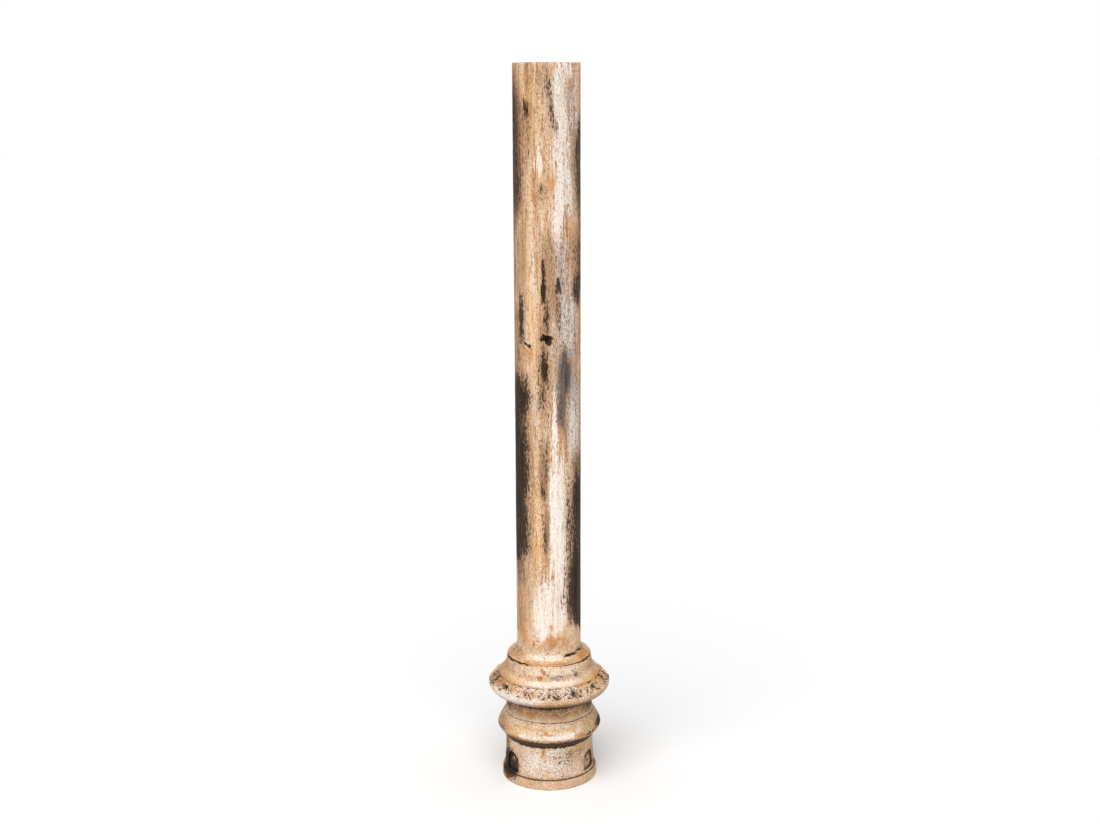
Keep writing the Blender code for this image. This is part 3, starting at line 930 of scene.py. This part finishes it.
# %% Umber: brown washes, and brown painted shade under the lip and under the roll
umber = [
    (-76, 1.000, 1.235, 28, 1.60),
    (-78, 1.225, 1.260, 25.7, 0.60),
    (-76, 0.865, 1.013, 24, 1.10),
    (-44, 0.867, 1.017, 7.1, 0.60),
    (-76, 0.740, 0.869, 24, 1.00),
    (-66, 0.388, 0.758, 38.2, 0.90),
    (-66, 0.262, 0.413, 32, 0.75),
    (82, 1.005, 1.150, 28, 1.30),
    (86, 1.130, 1.262, 20, 0.55),
    (79, 0.880, 1.020, 28, 1.00),
    (84, 0.763, 0.875, 22, 0.65),
    (88, 0.590, 0.770, 19, 0.55),
    (-38, 1.080, 1.193, 9.1, 0.55),
    (39, 1.177, 1.241, 6.5, 0.45),
    (-9, 1.202, 1.258, 3.8, 0.50),
    (7, 1.138, 1.260, 11, 0.30),
    (3, 0.792, 0.991, 16, 0.55),
    (18, 0.820, 0.878, 8.1, 0.60),
    (-8, 0.520, 0.620, 10, 0.80),
    (-11, 0.592, 0.661, 3.6, 0.45),
    (1, 0.593, 0.661, 4.4, 0.40),
    (-10, 0.676, 0.735, 7.1, 0.60),
    (-3, 0.414, 0.502, 4.9, 0.80),
    (32, 0.602, 0.712, 12.4, 0.35),
    (-5, 0.735, 0.804, 7.4, 0.60),
    (78, 0.262, 0.620, 30, 0.80),
    (0, 0.1290, 0.161, 250, 0.98),
    (-68, 0.2295, 0.248, 24, 1.00),
    (70, 0.2295, 0.248, 22, 0.90),
    (-74, 0.204, 0.228, 24, 0.60),
    (72, 0.204, 0.228, 22, 0.60),
    (-76, 0.180, 0.208, 30, 0.90),
    (80, 0.180, 0.208, 24, 0.65),
    # painted shade on the lip's lower curve
    (14, 0.158, 0.170, 34, 0.85),
    (-10, 0.180, 0.196, 90, 0.30),
    (66, 0.158, 0.180, 24, 0.60),
    (50, 0.128, 0.158, 34, 0.50),
    (-74, 0.088, 0.120, 26, 0.80),
    (74, 0.088, 0.120, 24, 0.75),
    # painted shadow on the roll's underside
    (0, 0.086, 0.095, 80, 0.55),
    (60, 0.016, 0.080, 17, 0.60),
    (90, 0.000, 0.080, 30, 0.70),
    (-90, 0.000, 0.080, 30, 0.70),
    (0, 0.000, 0.018, 200, 0.40),
]
print("umber stains:", len(umber))

# %% Grey: a cool pinkish bloom
grey = [
    (40, 1.009, 1.241, 24, 0.70),
    (26, 0.791, 0.988, 16.4, 0.80),
    (44, 0.765, 0.870, 18, 0.95),
    (54, 0.599, 0.740, 22, 0.95),
    (3, 1.193, 1.260, 15.2, 0.40),
    (10, 0.763, 0.797, 11.5, 0.50),
    (-24, 0.603, 0.707, 10.6, 0.30),
    (20, 0.208, 0.226, 40, 0.25),
    (-40, 0.160, 0.180, 30, 0.30),
    (10, 0.018, 0.078, 50, 0.50),
    (-28, 0.016, 0.060, 20, 0.35),
]
print("grey stains:", len(grey))

# %% The families together
families = {"soot_and_shade": soot_and_shade, "slate": slate, "rust": rust, "ochre": ochre, "pale": pale,
            "umber": umber, "grey": grey}
print("stains in all:", sum(len(stains) for stains in families.values()))

# %% [markdown]
# ### Writing the stains on the mesh
#
# Each stain is an oval, drawn out where it is long, that fades from its middle to its edge.
# Before it is read, every corner's turn and level sway a little with a slow noise, so no stain
# keeps a ruled edge. Two more measures need no list. Dirt gathers in hollows, and the same measure
# paints shade into the crevices of the leaves: a corner that lies below the average of its
# neighbours is in one, so the mesh is averaged a few times and the difference is kept. The second
# is painted shade: the base is darkened under its mouldings and in its wide hollows.

# %% Reading the stains at each corner
stain_edge = 1.40
stain_fade = 0.90
long_streak = 0.090
turn_sway = 3.2
fine_turn_sway = 1.6
level_sway = 0.012
base_sway_part = 0.12
back_shift = 137.0


def sway(points, around, up, seed):
    """Slow noise at each corner, by its place round and up the column."""
    return np.array([noise.noise(Vector((x * around, y * around + seed, z * up)))
                     for x, y, z in points])


def stain_field(stains, turns, levels):
    """The stains of one family laid over each other at each corner."""
    total = np.zeros(len(turns))
    for turn, low, high, half_turn, strength in stains:
        aside = np.abs((turns - turn + 180.0) % 360.0 - 180.0) / half_turn
        along = np.abs(levels - (low + high) / 2) / ((high - low) / 2)
        power = 4 if high - low > long_streak else 2
        reach = np.sqrt(aside ** 2 + along ** power)
        total += (strength * np.clip((stain_edge - reach) / stain_fade, 0.0, 1.0)) ** 2
    return np.sqrt(total)


def keep_attribute(mesh, name, values):
    """Store one number a corner under a name that the material can read."""
    layer = mesh.attributes.new(name, "FLOAT", "POINT")
    layer.data.foreach_set("value", np.asarray(values, np.float32))


column_mesh = column.data
places = np.zeros(len(column_mesh.vertices) * 3)
column_mesh.vertices.foreach_get("co", places)
places = places.reshape(-1, 3)
normals = np.array([corner.normal for corner in column_mesh.vertices])
radii = np.hypot(places[:, 0], places[:, 1])
on_base = np.clip((0.262 - places[:, 2]) / 0.02, 0.0, 1.0)
turns = np.degrees(np.arctan2(places[:, 0], -places[:, 1]))
turns += turn_sway * sway(places, 26, 12, 0.0) + fine_turn_sway * sway(places, 110, 40, 5.0)
level_part = 1.0 - (1.0 - base_sway_part) * on_base
levels = places[:, 2] + level_sway * level_part * sway(places, 190, 18, 9.0)
print("corners:", len(places))

# %% Hollows, and painted shade under the mouldings
fine_rounds = 4
fine_full = 0.00050
middle_rounds = 14
middle_full = 0.00110
# how much dirt and painted shade the leaves' hollows take
leaf_dirt_and_shade = 0.85
wide_rounds = 36
wide_full = 0.0080
under_full = 1.00
quiet_level = 0.2425
quiet_reach = 0.0100


def below_average(mesh, places, normals, rounds):
    """How far each corner lies under its neighbours' average, along its normal."""
    ends = np.zeros(len(mesh.edges) * 2, np.int64)
    mesh.edges.foreach_get("vertices", ends)
    ends = ends.reshape(-1, 2)
    counts = np.bincount(ends.ravel(), minlength=len(places))[:, None]
    softened = places.copy()
    for _ in range(rounds):
        total = np.zeros_like(softened)
        for axis in range(3):
            total[:, axis] += np.bincount(ends[:, 0], softened[ends[:, 1], axis], len(places))
            total[:, axis] += np.bincount(ends[:, 1], softened[ends[:, 0], axis], len(places))
        softened = 0.5 * softened + 0.5 * total / counts
    return ((softened - places) * normals).sum(axis=1)


on_leaves = (places[:, 2] > rim_level - 0.004) & (places[:, 2] < band_foot)
fine_hollow = below_average(column_mesh, places, normals, fine_rounds) / fine_full
middle_hollow = below_average(column_mesh, places, normals, middle_rounds) / middle_full
# dirt in hollows, and painted shade in the crevices of the leaves
hollow = np.where(on_leaves, middle_hollow * leaf_dirt_and_shade, np.maximum(fine_hollow, middle_hollow))
at_shaft_foot = np.clip(1.0 - np.abs(places[:, 2] - quiet_level) / quiet_reach, 0.0, 1.0)
hollow *= 1.0 - np.minimum(at_shaft_foot * 3.0, 0.9)
at_fillet = np.clip(1.0 - np.abs(places[:, 2] - neck_foot) / 0.005, 0.0, 1.0)
at_crease = np.clip(1.0 - np.abs(places[:, 2] - flare_level + crease_height / 2) / 0.006, 0.0, 1.0)
to_front = np.clip(1.6 - np.abs(turns) / 28.0, 0.0, 1.0)
hollow *= (1.0 - 0.7 * np.minimum(at_fillet * 3.0, 1.0)) * (1.0 - np.minimum(at_crease * 3.0, 1.0) * to_front)
hollow = np.clip(hollow, np.where(on_leaves, -1.0, 0.0), 1.0)
# painted shade: the base is darkened in wide hollows and on downward faces, under its mouldings
wide = np.clip(below_average(column_mesh, places, normals, wide_rounds) / wide_full, 0.0, 1.0)
facing_down = np.clip(-normals[:, 2] / under_full, 0.0, 1.0)
inside = (radii < bore_radius + 0.002).astype(float)
painted_shade = np.maximum(wide, facing_down) * (1.0 - inside) * on_base
print("in hollows:", round(float((hollow > 0.3).mean()), 3), "painted_shade_share:", round(float((painted_shade > 0.3).mean()), 3))

# %% Writing the attributes
boss_worn = 0.35
on_boss = np.zeros(len(places))
for turn in niche_turns:
    middle = np.array([cos(turn) * boss_base, sin(turn) * boss_base, boss_level])
    away = np.linalg.norm(places - middle, axis=1)
    on_boss = np.maximum(on_boss, np.clip((boss_radius * 1.25 - away) / (boss_radius * 0.3), 0.0, 1.0))

at_back = np.clip((np.abs(turns) - 90.0) / 16.0, 0.0, 1.0)
for name, stains in families.items():
    hidden = [(turn + back_shift, low, high, half, strength * 0.8)
              for turn, low, high, half, strength in stains if half < 60]
    field = stain_field(stains, turns, levels)
    field = np.maximum(field, stain_field(hidden, turns, levels) * at_back)
    if name == "soot_and_shade":
        field *= 1.0 - boss_worn * on_boss
    keep_attribute(column_mesh, name, field)
keep_attribute(column_mesh, "hollow", hollow)
keep_attribute(column_mesh, "painted_shade", painted_shade)
keep_attribute(column_mesh, "inside", inside)
print("attributes:", len(column_mesh.attributes))

# %% [markdown]
# ## The finish
#
# Cast iron that was painted cream many times and left outdoors shows every layer at once. The
# material is built as a painter would: a mottled cream and tan ground, then pale paint, ochre,
# umber, rust and soot, each let through by its own ragged mask; the umber, slate and soot layers
# also carry painted shade, and painted shade darkens the hollows and the undersides. A mask is a
# stain's attribute plus noise, pushed through a steep ramp, so a stain's edge breaks into grains.
# On the shaft the noise is drawn out upright, as rain draws it, and on the base it is even in all
# directions.

# %% Node helpers
finish = bpy.data.materials.new("weathered paint on cast iron")
finish.use_nodes = True
tree = finish.node_tree
shader = tree.nodes["Principled BSDF"]
object_places = tree.nodes.new("ShaderNodeTexCoord").outputs["Object"]


def plain(code):
    """A colour from its six-figure screen code, as the linear values that a shader takes."""
    parts = [int(code[start:start + 2], 16) / 255 for start in (0, 2, 4)]
    return tuple(part / 12.92 if part <= 0.04045 else ((part + 0.055) / 1.055) ** 2.4
                 for part in parts) + (1.0,)


def feed(socket, value):
    """Link an output to the socket, or set a number on it."""
    if isinstance(value, bpy.types.NodeSocket):
        tree.links.new(value, socket)
    else:
        socket.default_value = value


def reckon(operation, first, second=0.0):
    """One step of arithmetic."""
    step = tree.nodes.new("ShaderNodeMath")
    step.operation = operation
    feed(step.inputs[0], first)
    feed(step.inputs[1], second)
    return step.outputs[0]


def ramp(value, low, high, start=0.0, end=1.0):
    """A smooth rise between two values."""
    step = tree.nodes.new("ShaderNodeMapRange")
    step.interpolation_type = "SMOOTHSTEP"
    feed(step.inputs["Value"], value)
    step.inputs["From Min"].default_value = low
    step.inputs["From Max"].default_value = high
    step.inputs["To Min"].default_value = start
    step.inputs["To Max"].default_value = end
    return step.outputs["Result"]


def weighed(start, *parts):
    """A starting number plus each noise, taken about its middle, times its weight."""
    total = start
    for pattern, weight in parts:
        swing = reckon("MULTIPLY", reckon("SUBTRACT", pattern, 0.5), weight)
        total = reckon("ADD", total, swing)
    return total


def coat(under, colour, mask):
    """Lay one colour over another where the mask lets it."""
    mix = tree.nodes.new("ShaderNodeMix")
    mix.data_type = "RGBA"
    feed(mix.inputs[0], mask)
    feed(mix.inputs[6], under)
    feed(mix.inputs[7], colour)
    return mix.outputs[2]


def stain(name):
    """A stain's attribute."""
    layer = tree.nodes.new("ShaderNodeAttribute")
    layer.attribute_name = name
    return layer.outputs["Fac"]


# %% Grain of the paint
height_up = tree.nodes.new("ShaderNodeSeparateXYZ")
tree.links.new(object_places, height_up.inputs["Vector"])
on_shaft = ramp(height_up.outputs["Z"], 0.245, 0.330)


def noise_at(scale, upright, detail, shift):
    """Noise on Object coordinates; an upright part under one draws it out up the column."""
    mapping = tree.nodes.new("ShaderNodeMapping")
    feed(mapping.inputs["Vector"], object_places)
    mapping.inputs["Scale"].default_value = (1.0, 1.0, upright)
    mapping.inputs["Location"].default_value = (shift, shift * 0.7, shift * 0.3)
    pattern = tree.nodes.new("ShaderNodeTexNoise")
    tree.links.new(mapping.outputs["Vector"], pattern.inputs["Vector"])
    pattern.inputs["Scale"].default_value = scale
    pattern.inputs["Detail"].default_value = detail
    return pattern.outputs["Fac"]


def grain(base_scale, shaft_scale, upright, detail, shift):
    """Even grain on the base and drawn-out grain on the shaft."""
    step = tree.nodes.new("ShaderNodeMix")
    feed(step.inputs[0], on_shaft)
    feed(step.inputs[2], noise_at(base_scale, 1.0, detail, shift))
    feed(step.inputs[3], noise_at(shaft_scale, upright, detail, shift))
    return step.outputs[0]


broad = grain(64.0, 55.0, 0.05, 4.0, 1.3)
streaks = grain(190.0, 175.0, 0.045, 4.0, 5.1)
fine = grain(360.0, 430.0, 0.08, 3.0, 9.4)
speckle = grain(470.0, 520.0, 0.30, 2.0, 7.7)
pepper = grain(520.0, 600.0, 0.45, 1.0, 3.9)
print("nodes so far:", len(tree.nodes))

# %% Ragged masks
crispness = ramp(on_shaft, 0.0, 1.0, 1.7, 1.08)


def ragged(name, low=0.18, high=0.90):
    """Where a family of stains shows: its attribute broken up into streaks and grains."""
    amount = stain(name)
    rough = weighed(amount, (streaks, 1.4), (fine, 1.5), (speckle, 2.2))
    rough = reckon("ADD", reckon("MULTIPLY", reckon("SUBTRACT", rough, 0.54), crispness), 0.54)
    return reckon("MULTIPLY", ramp(rough, low, high), ramp(amount, 0.02, 0.25))


masks = {name: ragged(name) for name in families}
# soot and painted shadow turn black where they are thickest
thick_soot_and_shade = ramp(weighed(stain("soot_and_shade"), (streaks, 1.6), (fine, 1.8), (speckle, 2.2)), 0.30, 1.12)
print("masks:", sorted(masks))

# %% Tones
tone_places = (0.12, 0.38, 0.62, 0.88)
even_part = ramp(on_shaft, 0.0, 1.0, 0.76, 1.0)
swing = weighed(0.0, (broad, 0.9), (streaks, 1.3), (fine, 1.4), (speckle, 1.3))
mottle = reckon("ADD", ramp(on_shaft, 0.0, 1.0, 0.60, 0.54), reckon("MULTIPLY", swing, even_part))


def tones(*codes):
    """One paint in four tones from dark to light, shared out by the mottle."""
    scale = tree.nodes.new("ShaderNodeValToRGB")
    stops = scale.color_ramp.elements
    stops[0].position, stops[0].color = tone_places[0], plain(codes[0])
    stops[1].position, stops[1].color = tone_places[3], plain(codes[3])
    for place, code in zip(tone_places[1:3], codes[1:3]):
        stop = stops.new(place)
        stop.color = plain(code)
    tree.links.new(mottle, scale.inputs["Fac"])
    return scale.outputs["Color"]


# %% Layers of colour
coats = [
    ("grey", 0.84, tones("A2948B", "C8BAB4", "DED2CF", "EEE7E5")),
    ("pale", 0.95, tones("E0C8B1", "EFDCCA", "F6E9DC", "FAF3EC")),
    ("ochre", 0.86, tones("AE763C", "CF9453", "E0AD73", "EECCA0")),
    ("umber", 0.88, tones("5C3F28", "8A6244", "B28862", "D5B08A")),
    ("rust", 0.88, tones("7C4019", "B06228", "C88240", "DAA366")),
    ("slate", 0.94, tones("1F2127", "3D3E44", "626066", "9C9492")),
    # soot stains, with painted shadow under the lip and the roll and in the leaves
    ("soot_and_shade", 0.97, coat(tones("47372A", "6B543F", "8B7059", "AA8F76"),
                        tones("0D0906", "1A120C", "281C13", "453325"), thick_soot_and_shade)),
]
paint = tones("A67C5B", "D1A57E", "E5C4A1", "F2DFCA")
for name, cover, colour in coats:
    paint = coat(paint, colour, reckon("MULTIPLY", masks[name], cover))
print("coats of paint:", len(coats))

# %% Dirt and painted shade in hollows, painted shade under the mouldings, worn ridges and pepper
# dirt in hollows, and painted shade in the leaves' crevices
hollow_dirt_and_shade_mask = ramp(weighed(stain("hollow"), (speckle, 1.2)), 0.15, 0.75)
# painted shade under the mouldings and in wide hollows
painted_shade_mask = ramp(weighed(stain("painted_shade"), (speckle, 1.6), (streaks, 0.8)), 0.25, 0.95)
ridge_mask = ramp(weighed(reckon("MULTIPLY", stain("hollow"), -1.0), (speckle, 1.0)), 0.25, 0.9)
pepper_part = reckon("SUBTRACT", reckon("ADD", stain("grey"), 0.9), stain("pale"))
pepper_part = weighed(reckon("MULTIPLY", pepper_part, 0.07), (pepper, 1.0))
pepper_mask = reckon("MULTIPLY", ramp(pepper_part, 0.08, 0.24), ramp(stain("soot_and_shade"), 0.2, 0.8, 1.0, 0.0))

painted_shade_brown = plain("5F4229")
black_dirt_and_shade = plain("231911")
pepper_brown = plain("5F4733")
chalk = plain("EAD7C6")
dark_umber = plain("5A4230")
# brown painted shade under the mouldings and in wide hollows
paint = coat(paint, painted_shade_brown, reckon("MULTIPLY", painted_shade_mask, 0.75))
# black dirt in hollows, and painted shade in the leaves' crevices
paint = coat(paint, black_dirt_and_shade, reckon("MULTIPLY", hollow_dirt_and_shade_mask, 0.85))
paint = coat(paint, chalk, reckon("MULTIPLY", ridge_mask, 0.20))
paint = coat(paint, pepper_brown, reckon("MULTIPLY", pepper_mask, 0.50))
paint = coat(paint, dark_umber, reckon("MULTIPLY", stain("inside"), 0.80))
tree.links.new(paint, shader.inputs["Base Color"])

# %% Roughness and relief
bump_distance = 0.0007
bump_strength = 0.60

rough_mix = reckon("ADD", reckon("MULTIPLY", speckle, 0.25), reckon("MULTIPLY", streaks, 0.20))
tree.links.new(ramp(rough_mix, 0.10, 0.35, 0.55, 0.88), shader.inputs["Roughness"])
relief = tree.nodes.new("ShaderNodeBump")
relief.inputs["Distance"].default_value = bump_distance
relief.inputs["Strength"].default_value = bump_strength
height = reckon("ADD", reckon("MULTIPLY", speckle, 0.5), reckon("MULTIPLY", fine, 0.5))
tree.links.new(height, relief.inputs["Height"])
tree.links.new(relief.outputs["Normal"], shader.inputs["Normal"])
shader.inputs["Specular IOR Level"].default_value = 0.15
column_mesh.materials.clear()
column_mesh.materials.append(finish)
print("nodes in the finish:", len(tree.nodes))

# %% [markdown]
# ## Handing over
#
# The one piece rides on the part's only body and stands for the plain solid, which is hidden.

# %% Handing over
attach(column, "root")
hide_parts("column")
